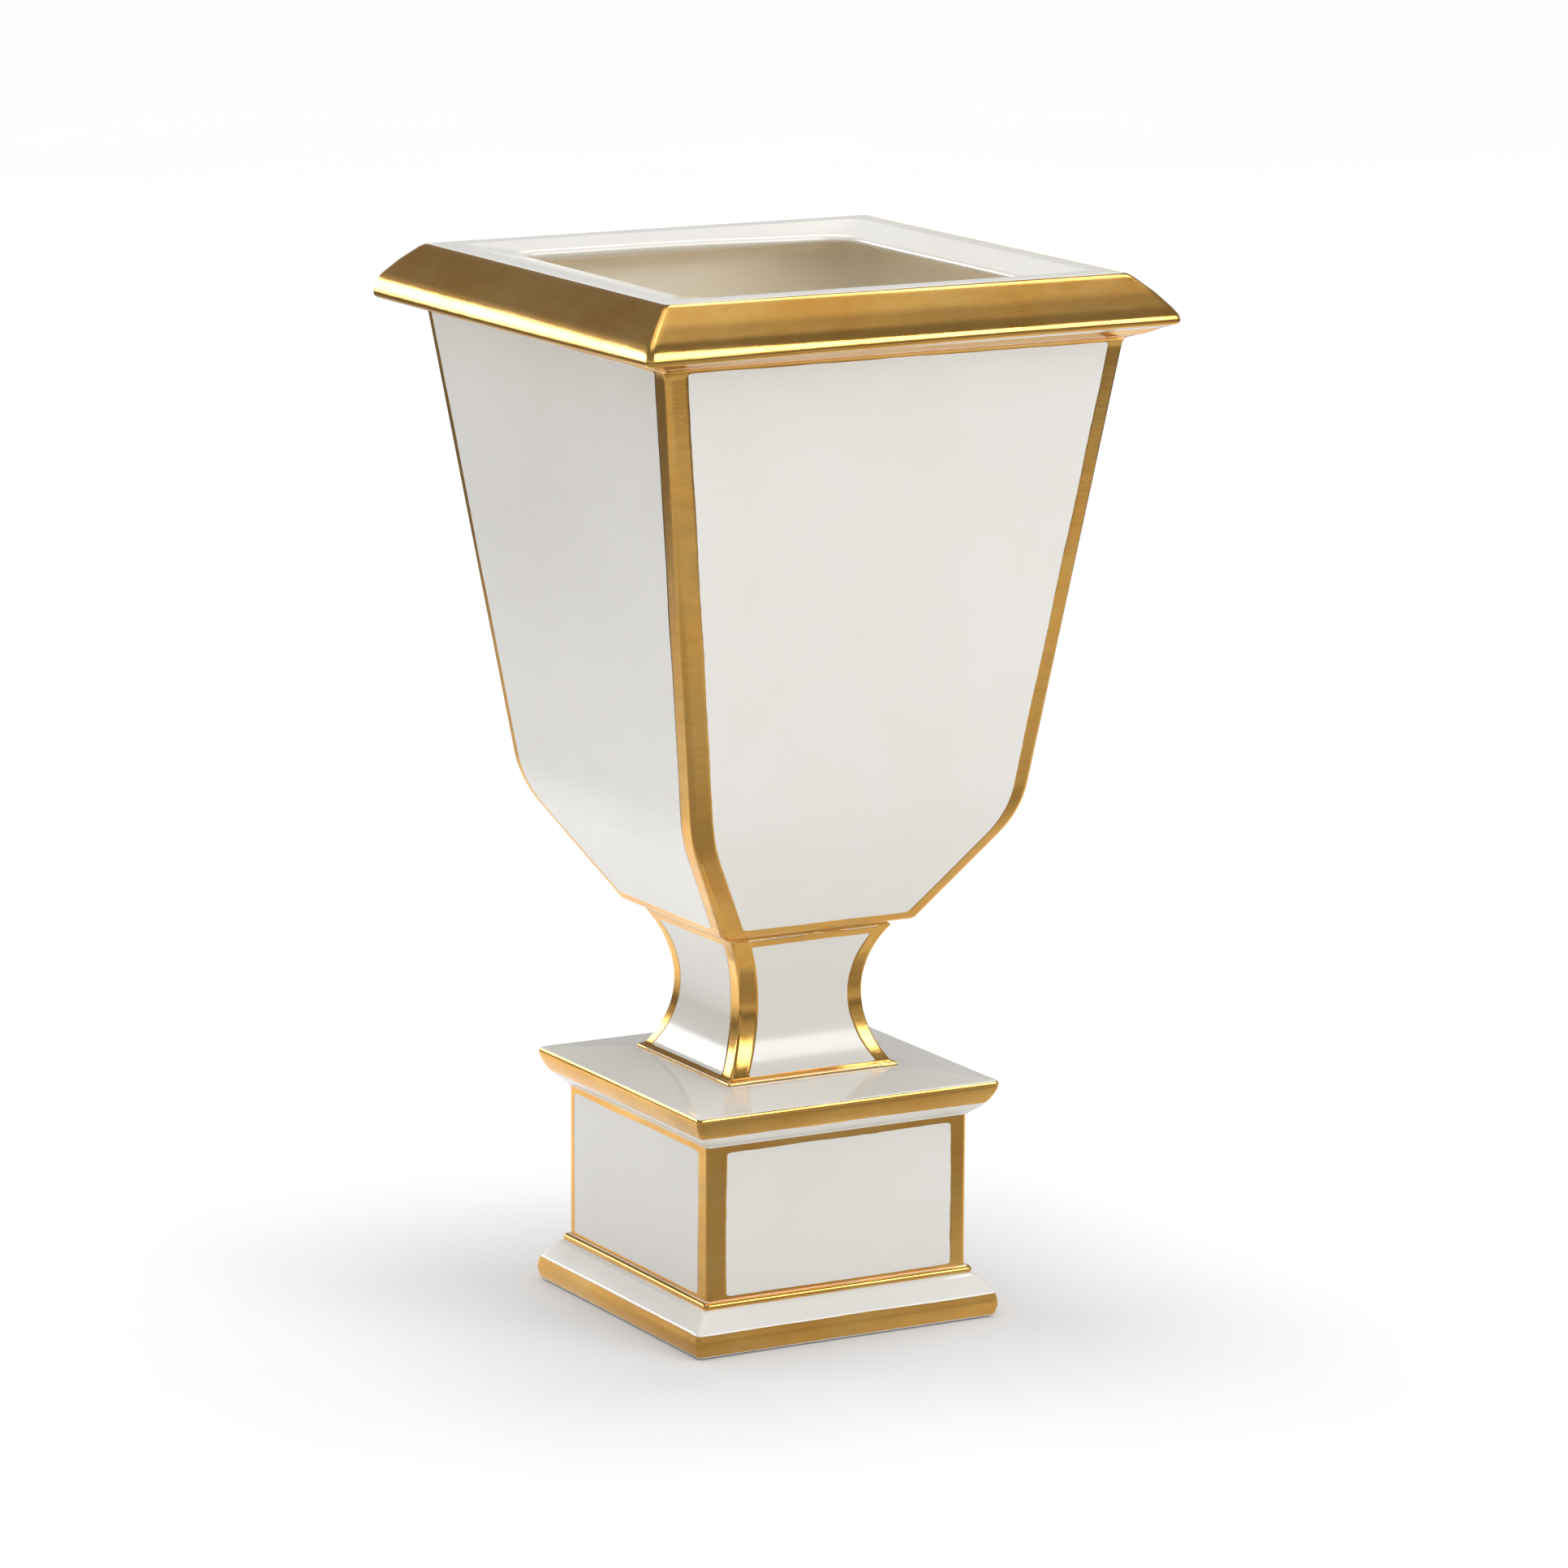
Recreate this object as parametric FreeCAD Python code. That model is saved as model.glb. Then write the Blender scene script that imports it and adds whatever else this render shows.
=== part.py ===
import FreeCAD, Part
import math
import os
from FreeCAD import Vector

# A square pedestal vase in glazed porcelain with gilded edges.
# Everything is square in plan and symmetric about the Z axis.  The origin is the centre of the
# underside, +Z is up, and the four faces look along +X, -X, +Y and -Y.  Lengths are millimetres.
# "Half" always means the distance from the centre plane to a flat face.

# ---- driving dimensions --------------------------------------------------------------------
total_height = 406.0
gilding_thickness = 0.3

# Rim: a thick square moulding with a gilded bevel above a rounded nose, and a lip that dishes
# down to a shoulder and then drops straight into the mouth.
rim_bottom = 379.2
rim_cove_half = 97.1
rim_cove_height = 381.5
rim_cove_radius = 3.0
rim_nose_low_half = 112.65
rim_nose_low_height = 386.3
rim_nose_low_radius = 1.7
rim_nose_high_half = 111.7
rim_nose_high_height = 391.8
rim_nose_high_radius = 12.0
rim_top_half = 98.0
rim_arris_radius = 4.0
lip_flat_half = 88.0
lip_mouth_half = 71.9
lip_shoulder_height = 403.4
lip_shoulder_radius = 1.5
lip_underside = 398.6
mouth_corner_radius = 9.0

# Bowl: a tapering square body with a soft knee, closed at the bottom.
bowl_bottom = 154.5
bowl_bottom_half = 41.5
bowl_bottom_radius = 2.5
bowl_knee_half = 71.1
bowl_knee_height = 199.2
bowl_knee_radius = 48.0
bowl_corner_radius = 2.2
bowl_wall = 6.6
bowl_floor = 162.5
hollow_corner_radius = 6.0

# Neck: a waisted square tube.
neck_bottom = 96.6
neck_foot_half = 37.2
neck_foot_height = 1.0
neck_flare_half = 35.0
neck_flare_height = 98.2
neck_curve_radius = 47.0
neck_throat_height = 125.0
neck_arris_half = 34.8
neck_arris_height = 151.5
neck_seat_half = 32.0
neck_wall = 6.0
neck_bore_half = 24.0

# Plinth: cap, block and foot, hollow and open underneath.
cap_bottom = 79.5
cap_ovolo_low_half = 57.3
cap_ovolo_low_height = 79.9
cap_ovolo_radius = 20.0
cap_nose_half = 65.6
cap_nose_height = 90.8
cap_edge_height = 93.5
cap_edge_radius = 1.6
cap_plate_underside = 87.5
block_bottom = 19.5
block_half = 56.5
block_wall = 6.5
block_corner_radius = 2.0
bead_bottom = 16.8
bead_half = 58.4
bead_radius = 1.8
foot_underside_half = 64.4
foot_nose_radius = 9.3
foot_nose_half = 65.6
foot_nose_height = 9.4
foot_slope_half = 60.0
foot_slope_height = 15.9
foot_wall = 8.0
foot_ledge_height = 9.0

# Gilded bands: heights and widths as painted.
rim_gilding_low_half = 102.0
rim_gilding_high_half = 96.3
cove_line_high = 382.0
bowl_bottom_line_high = 158.0
bowl_stripe_widths = (9.0, 6.8, 6.7, 4.4)
neck_top_line_low = 148.7
neck_stripe_widths = (7.8, 6.2, 6.6, 5.8)
cap_gilding_low = 84.6
cap_gilding_high = 93.2
block_top_line_low = 76.7
block_foot_line_high = 20.7
block_stripe_widths = (8.1, 7.1, 6.5, 4.2)
foot_gilding_low = 0.9
foot_gilding_high = 9.2

reach = 140.0


# ---- outlines ------------------------------------------------------------------------------
# An outline is drawn in the plane of one face, as points on the positive side of the axis.
def corner(half, height, blend=0.0, arc=0.0):
    """A point of an outline.  blend rounds the corner.  arc is the radius of the edge that
    follows: positive bows away from the axis, negative bows towards it."""
    return (half, height, blend, arc)


def arc_middle(start, end, radius):
    """The middle point of an arc that rises from start to end."""
    chord = end.sub(start)
    outward = Vector(chord.z, 0, -chord.x).normalize()
    sag = abs(radius) - math.sqrt(radius ** 2 - (chord.Length / 2) ** 2)
    return start.add(chord * 0.5).add(outward * math.copysign(sag, radius))


def outline_edges(corners):
    """Edges through the corners, in order, with each blended corner turned into an arc."""
    points = [Vector(c[0], 0, c[1]) for c in corners]
    edges = []
    start = points[0]
    for index in range(1, len(points)):
        here = points[index]
        blend = corners[index][2]
        bow = corners[index - 1][3]
        end = here
        if blend > 0:
            back = points[index - 1].sub(here).normalize()
            ahead = points[index + 1].sub(here).normalize()
            half_angle = back.getAngle(ahead) / 2
            run = blend / math.tan(half_angle)
            end = here.add(back * run)
        if bow:
            edges.append(Part.Arc(start, arc_middle(start, end, bow), end).toShape())
        else:
            edges.append(Part.makeLine(start, end))
        start = end
        if blend > 0:
            leave = here.add(ahead * run)
            inward = back.add(ahead).normalize()
            middle = here.add(inward * (blend / math.sin(half_angle) - blend))
            edges.append(Part.Arc(start, middle, leave).toShape())
            start = leave
    return edges


def mirrored_face(corners):
    """The face between an outline and its mirror image, closed across the axis."""
    right = outline_edges(corners)
    left = [edge.mirror(Vector(0, 0, 0), Vector(1, 0, 0)) for edge in right]
    closing = []
    for half, height in (corners[0][:2], corners[-1][:2]):
        closing.append(Part.makeLine(Vector(-half, 0, height), Vector(half, 0, height)))
    return Part.Face(Part.Wire(Part.__sortEdges__(right + left + closing)))


def slice_of(face, low, high):
    """The part of an outline's face between two heights."""
    return face.common(Part.makeBox(2 * reach, 2, high - low, Vector(-reach, -1, low)))


def bar_along_y(face):
    """The face drawn out along Y, both ways from the centre plane."""
    return face.translated(Vector(0, -reach, 0)).extrude(Vector(0, 2 * reach, 0))


def bar_along_x(face):
    """The same bar turned to run along X."""
    return bar_along_y(face).rotated(Vector(0, 0, 0), Vector(0, 0, 1), 90)


def on_a_mitre(edge):
    """True for an edge that runs up one of the four corners."""
    ends = [vertex.Point for vertex in edge.Vertexes]
    if ends[0].x * ends[-1].x < 0 or ends[0].y * ends[-1].y < 0:
        return False
    return all(abs(abs(p.x) - abs(p.y)) < 1e-4 for p in ends)


def square_body(face, corner_radius=0.0):
    """A solid that shows the same outline on all four sides.  Its upright corners are crisp
    mitres unless a radius is given."""
    body = bar_along_y(face).common(bar_along_x(face))
    if corner_radius > 0:
        body = body.makeFillet(corner_radius, [edge for edge in body.Edges if on_a_mitre(edge)])
    return body


def square_bar(half, low, high):
    """A plain square bar centred on the axis."""
    return Part.makeBox(2 * half, 2 * half, high - low, Vector(-half, -half, low))


# ---- outer form ----------------------------------------------------------------------------
foot_corners = [
    corner(foot_underside_half, 0, 0, foot_nose_radius),
    corner(foot_nose_half, foot_nose_height),
    corner(foot_slope_half, foot_slope_height),
    corner(bead_half, bead_bottom, 0, bead_radius),
    corner(bead_half - 1.0, block_bottom),
]
block_corners = [
    corner(block_half, block_bottom),
    corner(block_half, cap_bottom),
]
cap_corners = [
    corner(cap_ovolo_low_half, cap_bottom),
    corner(cap_ovolo_low_half, cap_ovolo_low_height, 0, cap_ovolo_radius),
    corner(cap_nose_half, cap_nose_height),
    corner(cap_nose_half + 0.1, cap_edge_height, cap_edge_radius),
]
neck_corners = [
    corner(neck_foot_half, neck_bottom),
    corner(neck_foot_half, neck_bottom + neck_foot_height),
    corner(neck_flare_half, neck_flare_height, 0, -neck_curve_radius),
    corner(neck_arris_half, neck_arris_height),
    corner(neck_seat_half, bowl_bottom),
]
bowl_corners = [
    corner(bowl_bottom_half, bowl_bottom, bowl_bottom_radius),
    corner(bowl_knee_half, bowl_knee_height, bowl_knee_radius),
]
rim_corners = [
    corner(rim_cove_half, rim_cove_height, rim_cove_radius),
    corner(rim_nose_low_half, rim_nose_low_height, rim_nose_low_radius),
    corner(rim_nose_high_half, rim_nose_high_height, rim_nose_high_radius),
    corner(rim_top_half, total_height, rim_arris_radius),
    corner(lip_mouth_half, total_height),
]
vase_corners = foot_corners + block_corners + cap_corners + neck_corners + bowl_corners + rim_corners
outer_face = mirrored_face(vase_corners)
inset_face = outer_face.makeOffset2D(-gilding_thickness, 0)

# Each porcelain section is a slice of the outer form.  The cast bodies have softened corners and
# the narrow mouldings have crisp ones.
sections = {
    "plinth_foot": (0, block_bottom, 0),
    "plinth_block": (block_bottom, cap_bottom, block_corner_radius),
    "plinth_cap": (cap_bottom, neck_bottom, 0),
    "neck": (neck_bottom, bowl_bottom, 0),
    "bowl": (bowl_bottom, rim_bottom, bowl_corner_radius),
    "rim": (rim_bottom, total_height, 0),
}
forms = {}
skins = {}
for name, (low, high, radius) in sections.items():
    forms[name] = square_body(slice_of(outer_face, low, high), radius)
    under_radius = max(0, radius - gilding_thickness)
    skins[name] = forms[name].cut(square_body(slice_of(inset_face, low, high), under_radius))

# ---- hollows -------------------------------------------------------------------------------
# The inside of the bowl and rim.  It follows the outer wall, turns in under the lip, rises
# straight through the mouth and opens out over the dished top.
lower_run = (bowl_knee_half - bowl_bottom_half) / (bowl_knee_height - bowl_bottom)
lower_wall = bowl_wall * math.hypot(1, lower_run)
floor_half = bowl_bottom_half + lower_run * (bowl_floor - bowl_bottom) - lower_wall
upper_run = (rim_cove_half - bowl_knee_half) / (rim_cove_height - bowl_knee_height)
upper_wall = bowl_wall * math.hypot(1, upper_run)
knee_rise = (lower_wall - upper_wall) / (lower_run - upper_run)
inner_knee_height = bowl_knee_height + knee_rise
inner_knee_half = bowl_knee_half - upper_wall + upper_run * knee_rise
hollow_half = inner_knee_half + upper_run * (lip_underside - inner_knee_height)
bowl_hollow = square_body(mirrored_face([
    corner(floor_half, bowl_floor),
    corner(inner_knee_half, inner_knee_height, bowl_knee_radius - bowl_wall),
    corner(hollow_half, lip_underside),
]), hollow_corner_radius)
mouth = square_body(mirrored_face([
    corner(lip_mouth_half, lip_underside - 1),
    corner(lip_mouth_half, lip_shoulder_height, lip_shoulder_radius),
    corner(lip_flat_half, total_height),
]), mouth_corner_radius)

# The inside of the plinth and neck, open underneath.
plinth_hollow = square_body(mirrored_face([
    corner(foot_underside_half - foot_wall, -1),
    corner(foot_underside_half - foot_wall, foot_ledge_height),
    corner(block_half - block_wall, block_bottom - 1.5),
    corner(block_half - block_wall, cap_plate_underside),
]))
bore_curve_radius = neck_curve_radius + neck_wall
curve_centre_half = neck_arris_half + math.sqrt(neck_curve_radius ** 2
                                                - (neck_arris_height - neck_throat_height) ** 2)


def bore_half_at(height):
    """Half-width of the neck's hollow, which follows its waisted outside."""
    return curve_centre_half - math.sqrt(bore_curve_radius ** 2 - (height - neck_throat_height) ** 2)


bore_straight_height = neck_throat_height + math.sqrt(
    bore_curve_radius ** 2 - (curve_centre_half - neck_bore_half) ** 2)
neck_hollow = square_body(mirrored_face([
    corner(bore_half_at(neck_bottom), cap_plate_underside - 1),
    corner(bore_half_at(neck_bottom), neck_bottom, 0, -bore_curve_radius),
    corner(neck_bore_half, bore_straight_height),
    corner(neck_bore_half, bowl_bottom),
]))
hollows = [bowl_hollow, mouth, plinth_hollow, neck_hollow]

# ---- gilding -------------------------------------------------------------------------------
gilding = {}


def paint_line(node, section, low, high):
    """A gilded line that runs level round all four sides of a section."""
    gilding[node] = (section, skins[section].common(square_bar(reach, low, high)))


def paint_stripes(prefix, section, widths, low, high):
    """A gilded stripe up each of the four corners, the same width on both faces it touches."""
    quarters = ((-1, -1), (0, -1), (0, 0), (-1, 0))
    for number, (width, (x, y)) in enumerate(zip(widths, quarters), 1):
        narrowed = []
        for half, height, blend, arc in vase_corners:
            narrowed.append(corner(half - width, height, blend, arc))
        panel = slice_of(mirrored_face(narrowed), low, high)
        stripe = skins[section].common(square_bar(reach, low, high))
        stripe = stripe.cut(bar_along_y(panel)).cut(bar_along_x(panel))
        quarter = Part.makeBox(reach, reach, high - low, Vector(x * reach, y * reach, low))
        gilding[prefix + "_" + str(number)] = (section, stripe.common(quarter))


rim_skin = skins["rim"].cut(square_bar(rim_gilding_low_half, rim_bottom, rim_nose_low_height))
rim_skin = rim_skin.cut(square_bar(rim_gilding_high_half, rim_nose_low_height, total_height))
gilding["rim_gilding"] = ("rim", rim_skin)
paint_line("cove_line", "rim", rim_bottom, cove_line_high)
paint_stripes("bowl_corner_stripe", "bowl", bowl_stripe_widths, bowl_bottom_line_high, rim_bottom)
paint_line("bowl_bottom_line", "bowl", bowl_bottom + gilding_thickness, bowl_bottom_line_high)
paint_line("neck_top_line", "neck", neck_top_line_low, neck_arris_height)
paint_stripes("neck_corner_stripe", "neck", neck_stripe_widths, neck_flare_height, neck_top_line_low)
paint_line("neck_foot_line", "neck", neck_bottom, neck_flare_height)
paint_line("cap_gilding", "plinth_cap", cap_gilding_low, cap_gilding_high)
paint_line("block_top_line", "plinth_block", block_top_line_low, cap_bottom)
paint_stripes("block_corner_stripe", "plinth_block", block_stripe_widths, block_foot_line_high,
              block_top_line_low)
paint_line("block_bottom_line", "plinth_block", block_bottom, block_foot_line_high)
paint_line("foot_bead_line", "plinth_foot", bead_bottom, block_bottom)
paint_line("foot_gilding", "plinth_foot", foot_gilding_low, foot_gilding_high)

# ---- finished pieces -----------------------------------------------------------------------
os.makedirs("parts", exist_ok=True)
for node, (section, band) in gilding.items():
    band.exportStep("parts/" + node + ".step")

for section, form in forms.items():
    inlays = [band for home, band in gilding.values() if home == section]
    porcelain = form.cut(inlays + hollows)
    porcelain.exportStep("parts/" + section + ".step")
    print(section, len(porcelain.Solids), porcelain.isValid(), round(porcelain.Volume))
for node, (section, band) in gilding.items():
    print(node, len(band.Solids), band.isValid(), round(band.Volume, 1))
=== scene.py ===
"""A square pedestal vase in glazed porcelain with gilded edges, on a pale studio floor."""
import bpy
import math
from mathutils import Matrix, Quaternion, Vector, noise


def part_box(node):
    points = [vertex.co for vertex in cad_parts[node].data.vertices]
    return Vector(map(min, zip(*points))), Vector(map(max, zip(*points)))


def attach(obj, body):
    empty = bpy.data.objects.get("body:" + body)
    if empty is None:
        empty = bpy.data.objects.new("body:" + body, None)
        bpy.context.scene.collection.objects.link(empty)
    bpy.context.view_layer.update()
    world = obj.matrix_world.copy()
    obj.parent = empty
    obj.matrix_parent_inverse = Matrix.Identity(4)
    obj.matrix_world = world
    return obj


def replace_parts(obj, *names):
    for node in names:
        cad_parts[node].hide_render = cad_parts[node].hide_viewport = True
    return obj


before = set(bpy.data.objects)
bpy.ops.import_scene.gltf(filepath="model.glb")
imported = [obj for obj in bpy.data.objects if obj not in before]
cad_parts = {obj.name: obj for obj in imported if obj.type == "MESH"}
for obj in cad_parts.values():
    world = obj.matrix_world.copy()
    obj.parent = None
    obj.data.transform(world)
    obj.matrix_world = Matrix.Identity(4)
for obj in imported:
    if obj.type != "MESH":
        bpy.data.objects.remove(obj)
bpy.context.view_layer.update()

MM = 0.001
SHARP_ANGLE = math.radians(60)

# How finely outlines are sampled: degrees and millimetres of an arc, millimetres of a line.
ARC_DEGREES, ARC_STEP, LINE_STEP = 5.0, 1.8, 6.0
SAME_POINT = 0.02       # points closer than this are one
HALF, HEIGHT = 0, 1     # the axes of an outline

GLAZE_LIFT = -0.06      # the glaze lies this far inside the nominal surface, so gold can sit on it
BAND_LIFT = -0.005      # bands are painted over the ends of the stripes
STRIPE_LIFT = -0.025    # stripes lie between the bands and the glaze
GOLD_BURIED = -0.14     # the underside of the gilding is out of sight in the porcelain
SMALLEST_RADIUS = 0.05

# Shares of a dent: the same everywhere, changing slowly, changing quickly.
DENT, DENT_SLOW, DENT_QUICK = 0.16, 0.2, 0.05
NOSE_SWING = 1.6        # the furthest the rim's nose can droop or lift
LIP_DIP = 1.3           # how far the lip dips at most


# ---- outlines --------------------------------------------------------------------------------
# An outline is a list of (half, height, blend, bow, corner) in millimetres: half is the distance
# from the centre plane to the flat face, blend rounds the point, bow is the radius of an arc to
# the next point (positive bows outwards), corner is the plan radius of the upright corner there.
def sample(corners):
    """The outline as closely spaced (half, height, corner) points."""
    out = []

    def add(p, radius):
        if not out or (Vector(out[-1][:2]) - p).length > SAME_POINT:
            out.append((p.x, p.y, radius))

    def line(a, b, ra, rb):
        count = max(1, math.ceil((b - a).length / LINE_STEP))
        for i in range(count + 1):
            f = i / count
            add(a.lerp(b, f), ra + (rb - ra) * f)

    def arc(a, b, centre, ra, rb):
        va, vb = a - centre, b - centre
        turn = math.atan2(va.x * vb.y - va.y * vb.x, va.dot(vb))
        count = max(2, math.ceil(abs(math.degrees(turn)) / ARC_DEGREES),
                    math.ceil(abs(turn) * va.length / ARC_STEP))
        for i in range(count + 1):
            f = i / count
            c, s = math.cos(turn * f), math.sin(turn * f)
            p = centre + Vector((va.x * c - va.y * s, va.x * s + va.y * c))
            add(p, ra + (rb - ra) * f)

    points = [Vector(c[:2]) for c in corners]
    start, r_start = points[0], corners[0][4]
    for i in range(1, len(corners)):
        here, blend, radius = points[i], corners[i][2], corners[i][4]
        bow = corners[i - 1][3]
        end = here
        if blend:
            back = (points[i - 1] - here).normalized()
            ahead = (points[i + 1] - here).normalized()
            half_angle = back.angle(ahead) / 2
            run = blend / math.tan(half_angle)
            end = here + back * run
        if bow:
            chord = end - start
            depth = math.sqrt(bow ** 2 - (chord.length / 2) ** 2)
            inward = Vector((-chord.y, chord.x)).normalized() * math.copysign(depth, bow)
            arc(start, end, start + chord / 2 + inward, r_start, radius)
        else:
            line(start, end, r_start, radius)
        start, r_start = end, radius
        if blend:
            leave = here + ahead * run
            centre = here + (back + ahead).normalized() * (blend / math.sin(half_angle))
            arc(end, leave, centre, radius, radius)
            start = leave
    return out


class Outline:
    """A sampled outline that can be read at any distance along it."""

    def __init__(self, corners):
        self.points = sample(corners)
        self.lengths = [0.0]
        for a, b in zip(self.points, self.points[1:]):
            self.lengths.append(self.lengths[-1] + math.dist(a[:2], b[:2]))
        self.normals = []
        last = len(self.points) - 1
        for i in range(last + 1):
            a, b = self.points[max(0, i - 1)], self.points[min(last, i + 1)]
            along = Vector((b[0] - a[0], b[1] - a[1])).normalized()
            self.normals.append(Vector((along.y, -along.x)))

    def at(self, length):
        """(half, height, corner radius, outward normal) at a distance along the outline."""
        length = min(max(length, 0.0), self.lengths[-1])
        i = 0
        while i < len(self.lengths) - 2 and self.lengths[i + 1] < length:
            i += 1
        f = (length - self.lengths[i]) / (self.lengths[i + 1] - self.lengths[i])
        a, b = self.points[i], self.points[i + 1]
        normal = self.normals[i].lerp(self.normals[i + 1], f).normalized()
        return tuple(p + (q - p) * f for p, q in zip(a, b)) + (normal,)

    def where(self, value, axis=HEIGHT, after=0.0):
        """The distance along the outline where it first reaches a height, or a half.  Stretches
        that end at or before the distance after are passed over."""
        for i in range(len(self.points) - 1):
            p, q = self.points[i][axis], self.points[i + 1][axis]
            if self.lengths[i + 1] > after and p != q and min(p, q) <= value <= max(p, q):
                stretch = self.lengths[i + 1] - self.lengths[i]
                return self.lengths[i] + (value - p) / (q - p) * stretch
        raise ValueError(f"the outline never reaches {value}")


# ---- the square surface ----------------------------------------------------------------------
def dent(face, across, height, half):
    """How far a hand-finished wall lies inside its true plane: nothing at the corners, a fraction
    of a millimetre between them."""
    middle = max(0.0, 1 - (across / max(half, 1)) ** 4)
    slow = noise.noise(Vector((across * 0.016, height * 0.013, face * 7.3 + 1.1)))
    quick = noise.noise(Vector((across * 0.045, height * 0.05, face * 3.7 + 9.2)))
    return middle * (DENT + DENT_SLOW * slow + DENT_QUICK * quick)


def smooth(low, high, value):
    """0 below low, 1 above high, easing between."""
    f = min(1.0, max(0.0, (value - low) / (high - low)))
    return f * f * (3 - 2 * f)


def settle(x, y, height):
    """How far the heavy rim moved in firing: its nose droops towards -X and +Y and lifts towards
    +X and -Y, and the lip dips towards +X."""
    out = max(abs(x), abs(y))
    nose = smooth(98, 111, out) * smooth(382, 385, height) * (1 - smooth(387.5, 393.5, height))
    tilt = (1.5 * x - 1.3 * y) / 112 - 0.1
    lip = (1 - smooth(75, 89, out)) * smooth(398.5, 402.5, height)
    return nose * NOSE_SWING * math.tanh(tilt / NOSE_SWING) - lip * LIP_DIP * smooth(-10, 74, x)


def place(quarter, half, height, radius, spot):
    """A point of the rounded square.  spot is ("arc", degrees 0 to 90 round the corner),
    ("run", fraction along the face before it) or ("back", fraction along the face after it)."""
    flat = half - radius
    kind, value = spot
    if kind == "arc":
        x = flat + radius * math.cos(math.radians(value))
        y = flat + radius * math.sin(math.radians(value))
    elif kind == "run":
        x, y = half, flat * value
        x -= dent(quarter, y, height, flat)
    else:
        x, y = flat * value, half
        y -= dent((quarter + 1) % 4, -x, height, flat)
    c, s = ((1, 0), (0, 1), (-1, 0), (0, -1))[quarter]
    x, y = x * c - y * s, x * s + y * c
    return (x, y, height + settle(x, y, height))


def spot_at(distance, half, radius):
    """The spot at a distance from a corner's middle, measured round the surface."""
    bend = radius * math.pi / 4
    if abs(distance) <= bend:
        return ("arc", 45 + math.degrees(distance / radius))
    fraction = 1 - (abs(distance) - bend) / (half - radius)
    return ("run" if distance < 0 else "back", fraction)


def ring_spots(flats, arcs):
    """Spots round a quarter: up one face, round the corner and back to the next face's middle."""
    runs = [("run", f) for f in flats]
    bends = [("arc", 90 * i / arcs) for i in range(1, arcs)]
    backs = [("back", f) for f in reversed(flats[1:])]
    return runs + bends + backs


CORNER_STEPS = 8        # steps round an upright corner
BODY_SPOTS = ring_spots([0, .12, .24, .36, .48, .6, .7, .79, .87, .93, .97, 1], CORNER_STEPS)
BAND_SPOTS = ring_spots([i / 40 for i in range(36)]
                        + [.89, .905, .92, .935, .95, .965, .98, 1], CORNER_STEPS)


def corner_index(quarter):
    """Corner 1 is at -X -Y and has index 0; the others run counter-clockwise seen from above."""
    return (quarter + 2) % 4


def offset_point(half, height, radius, normal, lift):
    """A point of an outline moved outwards by lift."""
    return (half + normal.x * lift, height + normal.y * lift,
            max(SMALLEST_RADIUS, radius + normal.x * lift))


def mesh_object(name, vertices, faces, material):
    mesh = bpy.data.meshes.new(name)
    mesh.from_pydata([tuple(c * MM for c in v) for v in vertices], [], faces)
    mesh.validate()
    mesh.update()
    obj = bpy.data.objects.new(name, mesh)
    bpy.context.scene.collection.objects.link(obj)
    mesh.shade_smooth()
    mesh.set_sharp_from_angle(angle=SHARP_ANGLE)
    mesh.materials.append(material)
    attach(obj, "root")
    return obj


def section(name, outlines, closed, material, inside=None, inside_below=0.0):
    """A porcelain section: its outlines, one after another, drawn round the square.  A closed
    section is a tube; an open one is capped at both ends.  The inside material, if there is one,
    covers what follows the first outline and lies below a height."""
    rings = [offset_point(*point, normal, GLAZE_LIFT)
             for outline in outlines
             for point, normal in zip(outline.points, outline.normals)]
    vertices = [place(quarter, *ring, spot)
                for ring in rings for quarter in range(4) for spot in BODY_SPOTS]
    faces = []
    around = 4 * len(BODY_SPOTS)
    count = len(rings)
    for i in range(count if closed else count - 1):
        j = (i + 1) % count
        for k in range(around):
            m = (k + 1) % around
            faces.append((i * around + k, i * around + m, j * around + m, j * around + k))
    if not closed:
        for ring, is_last in ((0, False), (count - 1, True)):
            vertices.append((0, 0, rings[ring][1]))
            centre = len(vertices) - 1
            for k in range(around):
                a, b = ring * around + k, ring * around + (k + 1) % around
                faces.append((a, b, centre) if is_last else (b, a, centre))
    obj = mesh_object(name, vertices, faces, material)
    if inside:
        obj.data.materials.append(inside)
        first = len(outlines[0].points) - 1
        for polygon in obj.data.polygons:
            ring = min(polygon.vertices) // around
            if ring >= first and rings[ring][1] < inside_below:
                polygon.material_index = 1
    return obj


# ---- gilding ---------------------------------------------------------------------------------
BAND_ROW, STRIPE_ROW = 0.7, 1.6     # millimetres between rows of points
STRIPE_STEPS = 5                    # steps across the flat part of a stripe
STRIPE_SWAY = 0.3
SLOW, QUICK = 0.035, 0.22           # how often a brushed edge sways, per millimetre
SLOW_SHARE, QUICK_SHARE = 1.3, 0.45
SLOW_SEED, QUICK_SEED = 5.17, 2.71  # how far apart in the noise one seed lies from the next
RIGHT_EDGE_SEED, HIGH_EDGE_SEED = 9.5, 0.5      # added for the second edge of a stripe or band
JOIN_RUN = 3.2          # where a stripe meets a band, the band's edge comes to rest over this run
JOIN_OVERLAP = 0.4      # that ends this far inside the stripe
JOIN_ROUNDING = 1.1     # and the inner corner is rounded by this much


def brush(seed, distance):
    """How far a brushed edge strays from its line, as a multiple of its sway."""
    slow = noise.noise(Vector((distance * SLOW, seed * SLOW_SEED, 0.4)))
    quick = noise.noise(Vector((distance * QUICK, seed * QUICK_SEED, 3.8)))
    return SLOW_SHARE * slow + QUICK_SHARE * quick


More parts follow.
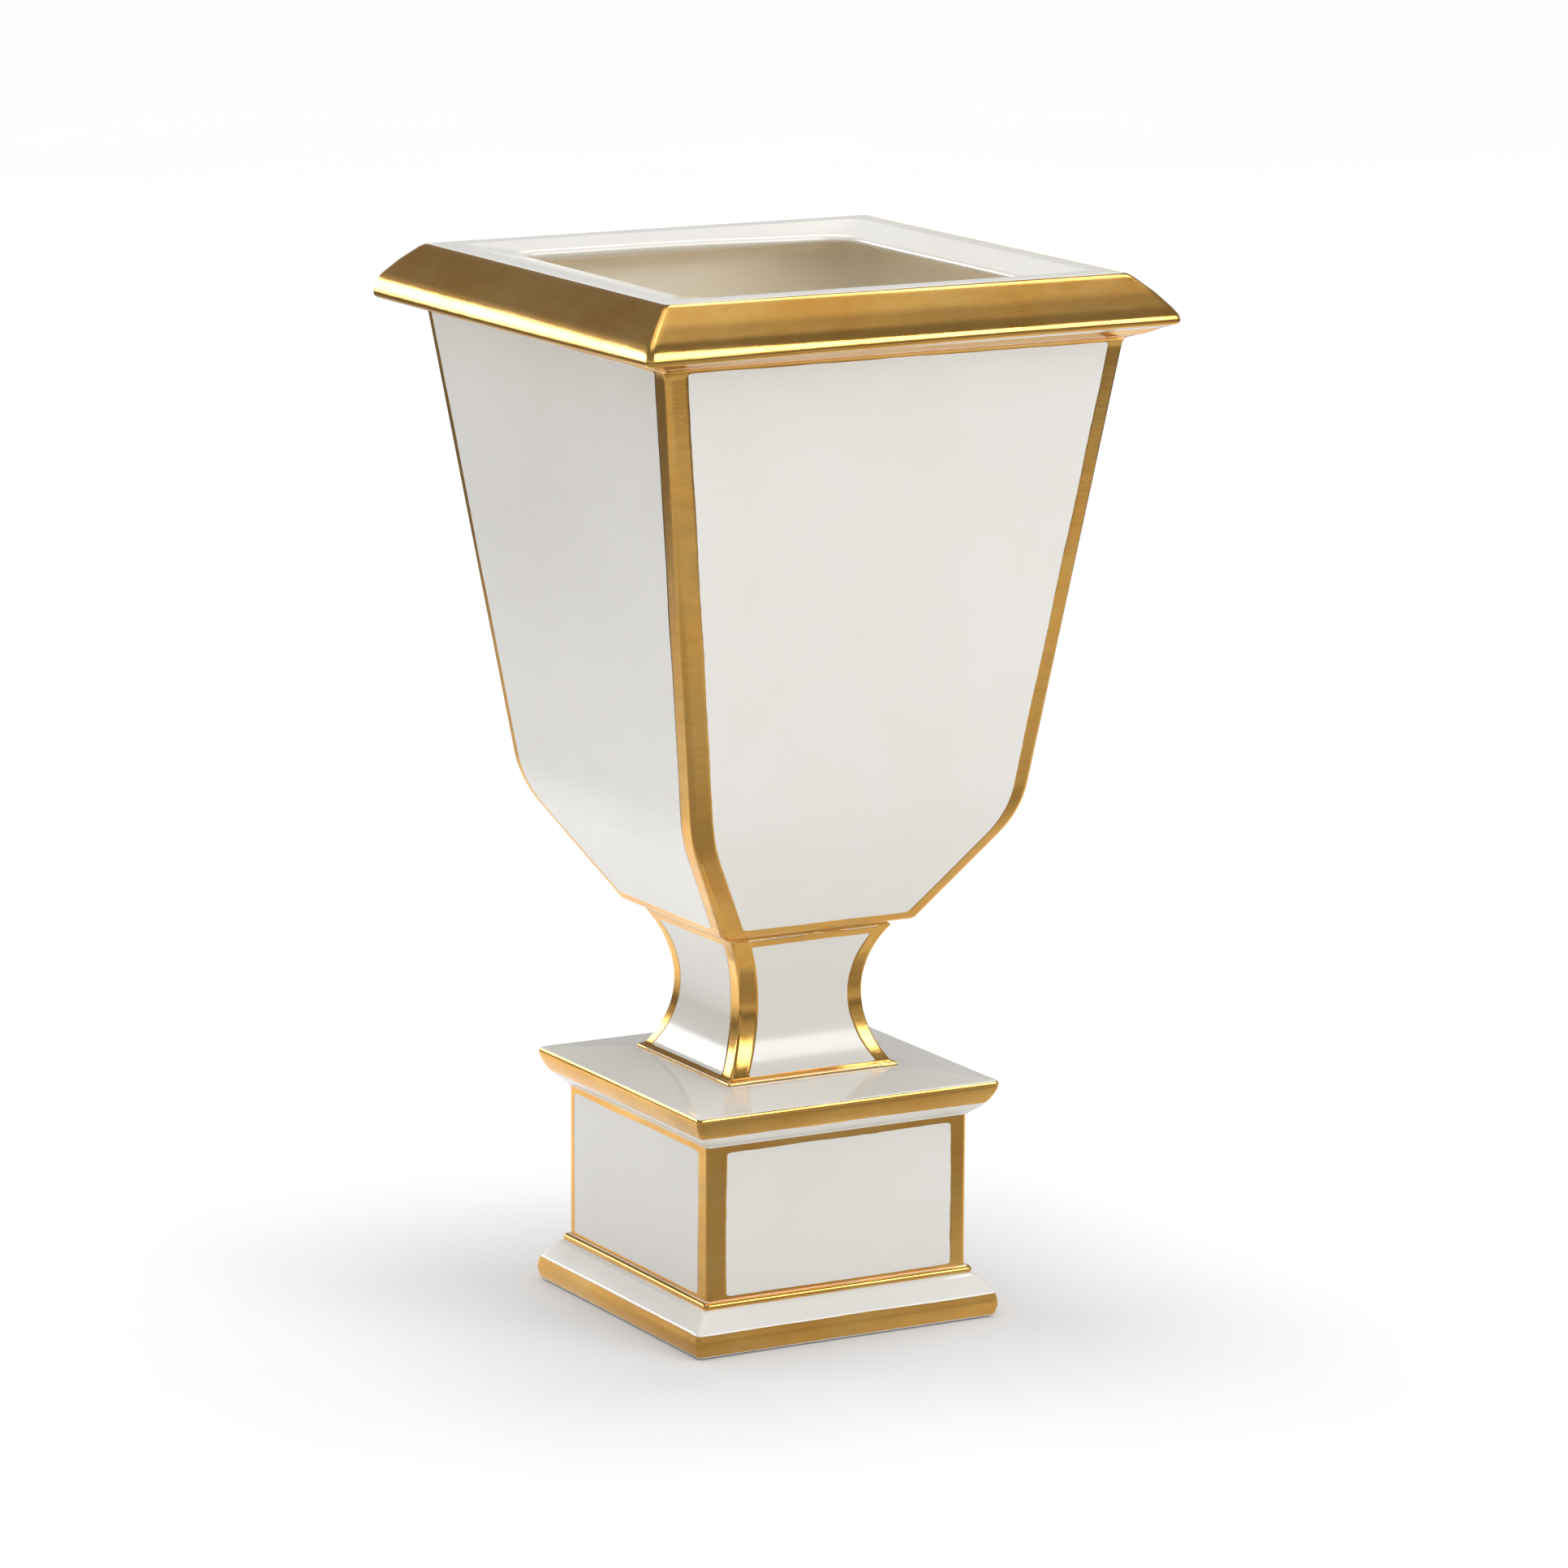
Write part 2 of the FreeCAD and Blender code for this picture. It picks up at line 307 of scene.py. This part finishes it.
def brush_round(seed, turn, perimeter):
    """The same for a line that comes back to its start; turn runs from 0 to 1."""
    reach = perimeter / (2 * math.pi)
    x, y = reach * math.cos(2 * math.pi * turn), reach * math.sin(2 * math.pi * turn)
    slow = noise.noise(Vector((x * SLOW, y * SLOW, seed * SLOW_SEED)))
    quick = noise.noise(Vector((x * QUICK, y * QUICK, seed * QUICK_SEED)))
    return SLOW_SHARE * slow + QUICK_SHARE * quick


def shell(name, upper, lower, wrap):
    """A thin closed skin between two sheets of points, each a list of rows; wrap joins the last
    column to the first."""
    rows, columns = len(upper), len(upper[0])
    vertices = [p for sheet in (upper, lower) for row in sheet for p in row]
    base = rows * columns
    faces = []
    steps = columns if wrap else columns - 1
    for i in range(rows - 1):
        for k in range(steps):
            m = (k + 1) % columns
            a, b = i * columns + k, i * columns + m
            c, d = (i + 1) * columns + m, (i + 1) * columns + k
            faces.append((a, b, c, d))
            faces.append((base + d, base + c, base + b, base + a))
    for i, flip in ((0, False), (rows - 1, True)):
        for k in range(steps):
            a, b = i * columns + k, i * columns + (k + 1) % columns
            side = (a, base + a, base + b, b)
            faces.append(side[::-1] if flip else side)
    if not wrap:
        for k, flip in ((0, False), (columns - 1, True)):
            for i in range(rows - 1):
                a, b = i * columns + k, (i + 1) * columns + k
                side = (a, b, base + b, base + a)
                faces.append(side[::-1] if flip else side)
    return mesh_object(name, vertices, faces, gold)


def band(name, outline, low, high, seed, stripe_low=None, stripe_high=None,
         sway_low=0.3, sway_high=0.3):
    """A gilded line round all four sides, from one distance along the outline to another.  Its
    edges sway as a brush does.  Where corner stripes of a given width meet an edge, the edge
    keeps still and the inner corner is rounded; those widths are of corners 1 to 4."""
    row_count = max(3, math.ceil((high - low) / BAND_ROW))
    middle_half, _, middle_radius, _ = outline.at((low + high) / 2)
    flat = middle_half - middle_radius
    perimeter = 8 * middle_half

    def edge(start, sway, stripe, edge_seed, turn, from_corner, outward):
        stray = brush_round(edge_seed, turn, perimeter)
        if stripe is None:
            return start + sway * stray
        clear = min(1.0, max(0.0, (from_corner - stripe + JOIN_OVERLAP) / JOIN_RUN))
        rounding = outward * JOIN_ROUNDING * (1 - clear) ** 3
        return start + rounding + sway * clear * stray

    def rows(lift):
        out = [[] for _ in range(row_count + 1)]
        for quarter in range(4):
            corner = corner_index(quarter)
            width_low = stripe_low and stripe_low[corner]
            width_high = stripe_high and stripe_high[corner]
            for spot in BAND_SPOTS:
                fraction = 1.0 if spot[0] == "arc" else spot[1]
                side = -1 if spot[0] == "run" else 1
                turn = (2 * quarter + 1 + side * (1 - fraction)) / 8
                from_corner = flat * (1 - fraction) + middle_radius
                a = edge(low, sway_low, width_low, seed, turn, from_corner, -1)
                b = edge(high, sway_high, width_high, seed + HIGH_EDGE_SEED, turn,
                         from_corner, 1)
                for i, row in enumerate(out):
                    point = outline.at(a + (b - a) * i / row_count)
                    row.append(place(quarter, *offset_point(*point, lift), spot))
        return out

    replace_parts(shell(name + "_paint", rows(BAND_LIFT), rows(GOLD_BURIED), True), name)


def stripes(prefix, outline, widths, low, high, seed):
    """Gilded stripes up the four corners, the same width on both faces of each corner.  The
    widths are those of corners 1 to 4."""
    row_count = math.ceil((high - low) / STRIPE_ROW)

    def rows(quarter, width, lift):
        out = []
        for i in range(row_count + 1):
            length = low + (high - low) * i / row_count
            half, height, radius = offset_point(*outline.at(length), lift)
            bend = radius * math.pi / 4
            left = width - radius + bend + STRIPE_SWAY * brush(seed + quarter, length)
            right = (width - radius + bend
                     + STRIPE_SWAY * brush(seed + quarter + RIGHT_EDGE_SEED, length))
            across = [-left + (left - bend) * step / STRIPE_STEPS
                      for step in range(STRIPE_STEPS)]
            across += [-bend + 2 * bend * step / CORNER_STEPS
                       for step in range(CORNER_STEPS + 1)]
            across += [bend + (right - bend) * step / STRIPE_STEPS
                       for step in range(1, STRIPE_STEPS + 1)]
            out.append([place(quarter, half, height, radius, spot_at(d, half, radius))
                        for d in across])
        return out

    for quarter in range(4):
        corner = corner_index(quarter)
        node = f"{prefix}_{corner + 1}"
        sheets = [rows(quarter, widths[corner], lift) for lift in (STRIPE_LIFT, GOLD_BURIED)]
        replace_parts(shell(node + "_paint", *sheets, False), node)


# ---- materials -------------------------------------------------------------------------------
class Nodes:
    """A small helper that adds and links the shader nodes of a material or the world."""

    def __init__(self, owner, coordinates="Object"):
        owner.use_nodes = True
        self.tree = owner.node_tree
        self.position = self.add("ShaderNodeTexCoord").outputs[coordinates]

    def add(self, kind, inputs=None, **settings):
        node = self.tree.nodes.new(kind)
        for key, value in settings.items():
            setattr(node, key, value)
        for key, value in (inputs or {}).items():
            self.feed(node.inputs[key], value)
        return node

    def feed(self, socket, value):
        if hasattr(value, "is_output"):
            self.tree.links.new(value, socket)
        else:
            socket.default_value = value

    def stretched(self, x, y, z):
        return self.add("ShaderNodeMapping",
                        {"Vector": self.position, "Scale": (x, y, z)}).outputs[0]

    def noise(self, scale, detail=3.0, roughness=0.5, vector=None, distortion=0.0):
        return self.add("ShaderNodeTexNoise", {
            "Vector": vector or self.position, "Scale": scale, "Detail": detail,
            "Roughness": roughness, "Distortion": distortion}).outputs["Fac"]

    def remap(self, value, low, high, to_low, to_high, interpolation="LINEAR"):
        return self.add("ShaderNodeMapRange", {
            "Value": value, "From Min": low, "From Max": high,
            "To Min": to_low, "To Max": to_high}, interpolation_type=interpolation).outputs[0]

    def ease(self, value, low, high, to_low, to_high):
        return self.remap(value, low, high, to_low, to_high, "SMOOTHSTEP")

    def math(self, operation, *values):
        return self.add("ShaderNodeMath", dict(enumerate(values)), operation=operation).outputs[0]

    def measure(self, operation, *vectors):
        """A number worked out from vectors."""
        return self.add("ShaderNodeVectorMath", dict(enumerate(vectors)),
                        operation=operation).outputs["Value"]

    def mix(self, factor, a, b):
        return self.add("ShaderNodeMix", {0: factor, 6: a, 7: b}, data_type="RGBA").outputs[2]

    def bump(self, height, strength, distance, normal=None):
        inputs = {"Height": height, "Strength": strength, "Distance": distance}
        if normal:
            inputs["Normal"] = normal
        return self.add("ShaderNodeBump", inputs).outputs[0]

    def surface(self, **inputs):
        """Set the main shader; Base_Color stands for Base Color, and so on."""
        for name, value in inputs.items():
            self.feed(self.tree.nodes["Principled BSDF"].inputs[name.replace("_", " ")], value)

    def glow(self, level):
        """Let the material do nothing but give off light."""
        light = self.add("ShaderNodeEmission", {"Strength": level}).outputs[0]
        self.feed(self.tree.nodes["Material Output"].inputs["Surface"], light)


def porcelain_material(name, pale, deep, cloudy, speck=(0.50, 0.45, 0.38, 1)):
    """Porcelain under a clear gloss glaze, a little uneven in tone and surface."""
    material = bpy.data.materials.new(name)
    n = Nodes(material)
    tone = n.noise(9, detail=4, roughness=0.55)
    clouds = n.noise(28, detail=3, roughness=0.6)
    specks = n.noise(900, detail=2)
    color = n.mix(n.remap(tone, 0.35, 0.65, 0, 1), deep, pale)
    color = n.mix(n.remap(clouds, 0.4, 0.7, 0, 0.35), color, cloudy)
    color = n.mix(n.remap(specks, 0.76, 0.80, 0, 0.5), color, speck)
    ripple = n.bump(n.noise(38, detail=2, roughness=0.4), strength=0.35, distance=0.0006)
    grain = n.bump(n.noise(420, detail=2), strength=0.12, distance=0.0001, normal=ripple)
    n.surface(Base_Color=color, Normal=grain, IOR=1.5, Coat_Weight=0.35, Coat_Roughness=0.04,
              Roughness=n.remap(n.noise(60, detail=4), 0.3, 0.7, 0.10, 0.17))
    return material


def gold_material():
    """Brushed-on gold lustre fired over the glaze: orange-gold, streaky along the brush, thinner
    and olive in cloudy patches, with fine dust specks."""
    deep, bright = (0.83, 0.42, 0.09, 1), (0.91, 0.54, 0.15, 1)
    streak, olive, dust = (0.62, 0.33, 0.09, 1), (0.66, 0.44, 0.16, 1), (0.90, 0.80, 0.62, 1)
    material = bpy.data.materials.new("gold_lustre")
    n = Nodes(material)
    streaks = n.noise(70, 6, 0.7, n.stretched(1.0, 1.0, 5.0), distortion=0.2)
    clouds = n.noise(24, 4, 0.6)
    thin = n.noise(15, 4, 0.6, n.stretched(1.0, 1.0, 2.0), distortion=0.8)
    speckle = n.noise(1500, 3, 0.6)
    color = n.mix(n.remap(clouds, 0.35, 0.65, 0, 1), deep, bright)
    color = n.mix(n.remap(streaks, 0.45, 0.75, 0, 0.35), color, streak)
    color = n.mix(n.remap(thin, 0.54, 0.70, 0, 0.4), color, olive)
    color = n.mix(n.remap(n.noise(700, 2), 0.73, 0.77, 0, 0.6), color, dust)
    patchy = n.remap(thin, 0.50, 0.75, 0.12, 0.24)
    dusty = n.remap(speckle, 0.3, 0.75, -0.02, 0.05)
    brushed = n.bump(streaks, strength=0.10, distance=0.0004)
    n.surface(Base_Color=color, Metallic=1.0, Roughness=n.math("ADD", patchy, dusty),
              Normal=n.bump(speckle, strength=0.14, distance=0.00006, normal=brushed))
    return material


porcelain = porcelain_material(
    "porcelain_glaze", pale=(0.80, 0.78, 0.735, 1), deep=(0.77, 0.75, 0.70, 1),
    cloudy=(0.75, 0.725, 0.67, 1))
# Inside the mouth and bowl: a paler, warmer copy of the glaze. This is painted light, standing in
# for the warm light bounced about inside the bowl.
inner_glaze_painted_light = porcelain_material(
    "inner_glaze_painted_light", pale=(0.97, 0.91, 0.78, 1), deep=(0.96, 0.88, 0.74, 1),
    cloudy=(0.93, 0.84, 0.68, 1))
gold = gold_material()

# ---- outlines of the sections, in millimetres ------------------------------------------------
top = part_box("rim")[1].z / MM
rim_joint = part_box("cove_line")[0].z / MM
bowl_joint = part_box("bowl")[0].z / MM
neck_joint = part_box("neck")[0].z / MM
cap_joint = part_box("plinth_cap")[0].z / MM
block_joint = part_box("plinth_block")[0].z / MM
block_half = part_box("plinth_block")[1].x / MM

# Radii of the upright corners: outside, then in the mouth, the bowl, the neck and the plinth.
RIM_R, BOWL_R, NECK_R, CAP_R, BLOCK_R, FOOT_R = 2.2, 2.2, 0.9, 1.8, 2.0, 1.8
LIP_R, MOUTH_R, BOWL_INNER_R, BOWL_FLOOR_R, BORE_R, HOLLOW_R = 6.0, 10.0, 9.0, 8.0, 3.0, 6.0

# Halves where one section or surface meets the next.
BOWL_TOP_HALF = 96.77
BOWL_INSIDE_HALF = 89.8
LIP_HALF = 88.0
BOWL_FOOT_HALF = 32.0
NECK_HOLLOW_HALF = 29.2
BLOCK_WALL = 6.5

bowl_corners = [
    (41.5, bowl_joint, 2.5, 0, BOWL_R),
    (71.1, bowl_joint + 44.7, 48.0, 0, BOWL_R),
]
bowl_top = (BOWL_TOP_HALF, rim_joint, 0, 0, BOWL_R)
rim_corners = [
    (97.1, top - 24.5, 3.0, 0, RIM_R),
    (112.65, top - 19.7, 1.7, 0, RIM_R),
    (111.7, top - 14.2, 12.0, 0, RIM_R),
    (105.2, top - 6.75, 26.0, 0, RIM_R),
    (97.8, top, 6.5, 0, RIM_R),
    (LIP_HALF, top, 0, 0, LIP_R),
]
rim_outer = Outline([bowl_top] + rim_corners)
rim_inner = Outline([
    (LIP_HALF, top, 2.0, 0, LIP_R),
    (73.2, top - 2.3, 1.6, 0, MOUTH_R),
    (71.9, top - 6.9, 2.6, 0, MOUTH_R),
    (92.6, top - 7.6, 6.0, 0, BOWL_INNER_R),
    (BOWL_INSIDE_HALF, rim_joint, 0, 0, BOWL_INNER_R),
])
bowl_outer = Outline([(BOWL_FOOT_HALF, bowl_joint, 0, 0, 1.2)] + bowl_corners + [bowl_top])
# The bowl and rim as one outline, for the gilding that crosses from one to the other.
wall_outer = Outline(bowl_corners + rim_corners)
bowl_inner = Outline([
    (BOWL_INSIDE_HALF, rim_joint, 0, 0, BOWL_INNER_R),
    (64.9, bowl_joint + 47.1, 41.0, 0, BOWL_INNER_R),
    (39.0, bowl_joint + 8.0, 5.0, 0, BOWL_FLOOR_R),
    (20.0, bowl_joint + 8.0, 0, 0, BOWL_FLOOR_R),
])
neck_outer = Outline([
    (37.2, neck_joint, 0, 0, NECK_R),
    (37.2, neck_joint + 1.0, 0.35, 0, NECK_R),
    (35.6, neck_joint + 1.6, 0.3, 0, NECK_R),
    (35.0, neck_joint + 1.8, 0, -47.0, NECK_R),
    (34.8, bowl_joint - 3.0, 0, 0, NECK_R),
    (34.6, bowl_joint - 2.6, 0.3, 0, NECK_R),
    (BOWL_FOOT_HALF, bowl_joint, 0, 0, NECK_R),
])
neck_inner = Outline([
    (24.0, bowl_joint, 0, 0, BORE_R),
    (24.0, bowl_joint - 10.8, 0, 0, BORE_R),
    (20.6, bowl_joint - 29.5, 0, 0, BORE_R),
    (NECK_HOLLOW_HALF, neck_joint, 0, 0, BORE_R),
])
cap_outer = Outline([
    (57.3, cap_joint, 0, 0, CAP_R),
    (57.3, cap_joint + 0.4, 0.2, 0, CAP_R),
    (57.6, cap_joint + 0.6, 0, 20.0, CAP_R),
    (65.6, cap_joint + 11.3, 0, 0, CAP_R),
    (65.7, cap_joint + 14.0, 1.6, 0, CAP_R),
    (36.5, neck_joint, 0, 0, NECK_R),
])
cap_inner = Outline([
    (NECK_HOLLOW_HALF, neck_joint, 0, 0, BORE_R),
    (NECK_HOLLOW_HALF, cap_joint + 8.0, 0.8, 0, BORE_R),
    (block_half - BLOCK_WALL, cap_joint + 8.0, 3.0, 0, HOLLOW_R),
    (block_half - BLOCK_WALL, cap_joint, 0, 0, HOLLOW_R),
])
block_outer = Outline([
    (block_half, block_joint, 0, 0, BLOCK_R),
    (block_half, cap_joint, 0, 0, BLOCK_R),
])
block_inner = Outline([
    (block_half - BLOCK_WALL, cap_joint, 0, 0, HOLLOW_R),
    (block_half - BLOCK_WALL, block_joint, 0, 0, HOLLOW_R),
])
foot_outer = Outline([
    (63.9, 0.0, 0, 0, FOOT_R),
    (64.8, 0.6, 0.5, 0, FOOT_R),
    (65.2, 1.2, 0, 9.3, FOOT_R),
    (65.6, 9.4, 2.4, 0, FOOT_R),
    (60.0, 15.9, 0.6, 0, FOOT_R),
    (58.4, 16.8, 0, 1.8, FOOT_R),
    (57.4, block_joint, 0, 0, FOOT_R),
])
foot_inner = Outline([
    (block_half - BLOCK_WALL, block_joint, 0, 0, HOLLOW_R),
    (block_half - BLOCK_WALL, block_joint - 1.5, 0.8, 0, HOLLOW_R),
    (56.4, 9.0, 1.5, 0, HOLLOW_R),
    (56.4, 0.0, 0, 0, HOLLOW_R),
])

INNER_GLAZE_PAINTED_LIGHT_BELOW = top - 6.4       # inside the mouth, the paler, warmer copy of the glaze (painted light) starts at this height
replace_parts(section("rim_porcelain", [rim_outer, rim_inner], True, porcelain,
                    inner_glaze_painted_light, INNER_GLAZE_PAINTED_LIGHT_BELOW), "rim")
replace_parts(section("bowl_porcelain", [bowl_outer, bowl_inner], False, porcelain,
                    inner_glaze_painted_light, top), "bowl")
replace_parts(section("neck_porcelain", [neck_outer, neck_inner], True, porcelain), "neck")
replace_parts(section("cap_porcelain", [cap_outer, cap_inner], True, porcelain), "plinth_cap")
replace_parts(section("block_porcelain", [block_outer, block_inner], True, porcelain),
            "plinth_block")
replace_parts(section("foot_porcelain", [foot_outer, foot_inner], True, porcelain), "plinth_foot")

# ---- the gilding, painted over them ----------------------------------------------------------
# Widths of the stripes at corners 1 to 4.
BOWL_STRIPES = (9.0, 6.8, 6.7, 4.4)
NECK_STRIPES = (7.8, 6.2, 6.6, 5.8)
BLOCK_STRIPES = (8.1, 7.1, 6.5, 4.2)
PAST_THE_NOSE = 30.0    # this far along the rim's outline its underside has been passed

band("rim_gilding", rim_outer, rim_outer.where(102.0, HALF),
     rim_outer.where(97.1, HALF, PAST_THE_NOSE), seed=1, sway_low=0.35, sway_high=0.08)
band("cove_line", wall_outer, wall_outer.where(rim_joint + 1.1),
     wall_outer.where(rim_joint + 3.3), seed=2, stripe_low=BOWL_STRIPES, sway_high=0.25)
stripes("bowl_corner_stripe", wall_outer, BOWL_STRIPES, wall_outer.where(bowl_joint + 3.0),
        wall_outer.where(rim_joint + 1.7), seed=10)
band("bowl_bottom_line", bowl_outer, bowl_outer.where(40.0, HALF),
     bowl_outer.where(bowl_joint + 3.5), seed=3, stripe_high=BOWL_STRIPES, sway_low=0.1)
band("neck_top_line", neck_outer, neck_outer.where(bowl_joint - 5.8),
     neck_outer.where(bowl_joint - 0.3), seed=4, stripe_low=NECK_STRIPES, sway_high=0.05)
stripes("neck_corner_stripe", neck_outer, NECK_STRIPES, neck_outer.where(neck_joint + 1.9),
        neck_outer.where(bowl_joint - 5.2), seed=30)
band("neck_foot_line", neck_outer, low=0.1, high=neck_outer.where(neck_joint + 2.1), seed=5,
     stripe_high=NECK_STRIPES, sway_low=0.0, sway_high=0.15)
band("cap_gilding", cap_outer, cap_outer.where(cap_joint + 5.1),
     cap_outer.where(cap_joint + 13.7), seed=6, sway_high=0.1)
band("block_top_line", block_outer, block_outer.where(cap_joint - 2.8),
     block_outer.where(cap_joint - 0.06), seed=7, stripe_low=BLOCK_STRIPES, sway_high=0.0)
stripes("block_corner_stripe", block_outer, BLOCK_STRIPES, block_outer.where(block_joint + 0.6),
        block_outer.where(cap_joint - 2.2), seed=50)
band("block_bottom_line", block_outer, low=0.05, high=block_outer.where(block_joint + 1.2),
     seed=8, stripe_high=BLOCK_STRIPES, sway_low=0.0, sway_high=0.2)
band("foot_bead_line", foot_outer, foot_outer.where(16.9),
     foot_outer.where(block_joint - 0.02), seed=9, sway_low=0.12, sway_high=0.0)
band("foot_gilding", foot_outer, foot_outer.where(0.95), foot_outer.where(9.3), seed=11,
     sway_low=0.1, sway_high=0.25)

# ---- studio ----------------------------------------------------------------------------------
TURN = math.radians(29.27)      # the near corner is turned this far from the camera
RIGHT = Vector((math.cos(TURN), -math.sin(TURN), 0))
FORWARD = Vector((math.sin(TURN), math.cos(TURN), 0))
UP = Vector((0, 0, 1))

TABLE_SIZE = (24, 24)
FLOOR_DROP = 0.0002             # the floor lies just under the foot
REFLECTION_LIFT = 0.0004        # and its stand-in for reflections just over the floor
RIM_HEIGHT, BODY_HEIGHT = 0.38, 0.3     # what the cards and the soft boxes are aimed at


def standing(right, back, height):
    """A place given as the camera sees the vase: to its right, towards the camera, and up."""
    return RIGHT * right - FORWARD * back + UP * height


def plane(name, size, location, rotation, material):
    mesh = bpy.data.meshes.new(name)
    w, h = size[0] / 2, size[1] / 2
    mesh.from_pydata([(-w, -h, 0), (w, -h, 0), (w, h, 0), (-w, h, 0)], [], [(0, 1, 2, 3)])
    obj = bpy.data.objects.new(name, mesh)
    bpy.context.scene.collection.objects.link(obj)
    obj.location = location
    obj.rotation_euler = rotation
    mesh.materials.append(material)
    return obj


# The floor is darker close to the vase: painted shade round its foot, paling towards white between
# 0.2 m and 1.6 m from its axis, with faint random patches.
def floor_material(near=(0.77, 0.77, 0.775, 1), far=(0.98, 0.98, 0.98, 1),
                   patch=(0.80, 0.80, 0.80, 1)):
    material = bpy.data.materials.new("pale_floor")
    n = Nodes(material)
    distance = n.measure("LENGTH", n.position)
    color = n.mix(n.remap(distance, 0.2, 1.6, 0, 1), near, far)
    color = n.mix(n.remap(n.noise(3), 0.3, 0.7, 0, 0.06), color, patch)
    n.surface(Base_Color=color, Roughness=0.75, Specular_IOR_Level=0.2)
    return material


def softbox(name, size, right, back, height, target_height, power):
    """An area light aimed at the vase's axis.  It lights surfaces but leaves no highlight on
    them; the cards below do that."""
    data = bpy.data.lights.new(name, "AREA")
    data.shape = "RECTANGLE"
    data.size, data.size_y = size
    data.energy = power
    light = bpy.data.objects.new(name, data)
    bpy.context.scene.collection.objects.link(light)
    light.location = standing(right, back, height)
    aim = UP * target_height - light.location
    light.rotation_mode = "QUATERNION"
    light.rotation_quaternion = aim.to_track_quat("-Z", "Y")
    light.visible_glossy = False


def glow_material(name, height, strength):
    """White paper lit from behind, a little uneven, fading towards its upper and lower edges."""
    material = bpy.data.materials.new(name)
    n = Nodes(material)
    across = n.add("ShaderNodeSeparateXYZ", {0: n.position}).outputs["Y"]
    fade = n.ease(n.math("ABSOLUTE", across), 0.25 * height, 0.5 * height, 1.0, 0.06)
    level = n.remap(n.noise(1.5, detail=2), 0.3, 0.7, 0.92 * strength, 1.08 * strength)
    n.glow(n.math("MULTIPLY", level, fade))
    return material


def only_in_reflections(obj):
    obj.visible_camera = False
    obj.visible_diffuse = False
    obj.visible_shadow = False
    obj.visible_transmission = False


def card(name, size, right, back, height, strength):
    """A glowing card aimed at the rim, seen only as a highlight on the glaze and the gold."""
    location = standing(right, back, height)
    aim = UP * RIM_HEIGHT - location
    material = glow_material(name, size[1], strength)
    obj = plane(name, size, location, aim.to_track_quat("Z", "Y").to_euler(), material)
    only_in_reflections(obj)


def table_material():
    """A painted reflection of the table, seen by polished gold in place of the floor: dim in front
    of the vase and bright behind it close by, even further off, falling away to a dark room."""
    material = bpy.data.materials.new("table_reflection")
    n = Nodes(material)
    distance = n.measure("LENGTH", n.position)
    behind = n.measure("DOT_PRODUCT", n.position, FORWARD)
    near = n.remap(behind, -0.12, 0.15, 0.34, 1.1)
    level = n.ease(distance, 0.4, 0.75, near, 0.64)
    n.glow(n.math("MULTIPLY", level, n.remap(distance, 0.82, 1.12, 1.0, 0.28)))
    return material


plane("floor", TABLE_SIZE, UP * -FLOOR_DROP, (0, 0, 0), floor_material())

softbox("overhead", (0.5, 0.5), right=0.0, back=0.0, height=2.2, target_height=0.4, power=9)
softbox("fill_left", (1.3, 0.55), right=-1.75, back=-1.05, height=0.72,
        target_height=BODY_HEIGHT, power=8)
softbox("key_right", (0.8, 0.6), right=1.75, back=0.95, height=0.95,
        target_height=BODY_HEIGHT, power=6)

card("card_left", (1.3, 0.50), right=-1.75, back=-1.08, height=0.60, strength=6)
card("card_right", (0.9, 0.80), right=1.75, back=0.95, height=1.05, strength=5)
card("card_rear", (1.1, 0.5), right=0.6, back=-1.0, height=2.0, strength=4)
card("card_zenith", (0.4, 0.4), right=0.15, back=0.0, height=2.2, strength=4)

sun = bpy.data.lights.new("canopy", "SUN")
sun.energy = 1.9
sun.angle = math.radians(110)
canopy = bpy.data.objects.new("canopy", sun)
bpy.context.scene.collection.objects.link(canopy)
canopy.rotation_mode = "QUATERNION"
canopy.rotation_quaternion = (FORWARD * 0.22 - RIGHT * 0.12 - UP).to_track_quat("-Z", "Y")
canopy.visible_glossy = False

# A glowing sheet just over the floor, seen only in reflections: the painted reflection of the
# table.
only_in_reflections(plane("table_reflection", TABLE_SIZE, UP * REFLECTION_LIFT, (0, 0, 0),
                          table_material()))

# The room: grey walls a shade dimmer behind the vase, a darker stretch above them, and a ceiling
# that is bright straight overhead.
world = bpy.data.worlds.new("studio")
bpy.context.scene.world = world
room = Nodes(world, "Generated")
upwards = room.measure("DOT_PRODUCT", room.position, UP)
walls = room.ease(room.measure("DOT_PRODUCT", room.position, FORWARD), -0.3, 0.35, 0.44, 0.40)
ceiling = room.ease(upwards, 0.765, 0.98, 0.22, 1.2)
background = room.tree.nodes["Background"].inputs
room.feed(background["Strength"], room.ease(upwards, 0.30, 0.44, walls, ceiling))
room.feed(background["Color"], (1, 1, 1, 1))
bpy.context.scene.view_settings.view_transform = "Standard"

# ---- camera ----------------------------------------------------------------------------------
ELEVATION = math.radians(11.69)
ROLL = math.radians(0.32)
DISTANCE = 2.7061
TARGET = RIGHT * 0.00602 + UP * 0.2034
SENSOR, LENS, FARTHEST = 36.0, 162.47, 60

camera = bpy.data.objects.new("camera", bpy.data.cameras.new("camera"))
bpy.context.scene.collection.objects.link(camera)
camera.data.sensor_width = SENSOR
camera.data.lens = LENS
camera.data.clip_end = FARTHEST
back = -FORWARD * math.cos(ELEVATION) + UP * math.sin(ELEVATION)
camera.location = TARGET + back * DISTANCE
camera.rotation_mode = "QUATERNION"
aimed = (-back).to_track_quat("-Z", "Y")
camera.rotation_quaternion = aimed @ Quaternion((0, 0, 1), ROLL)
bpy.context.scene.camera = camera
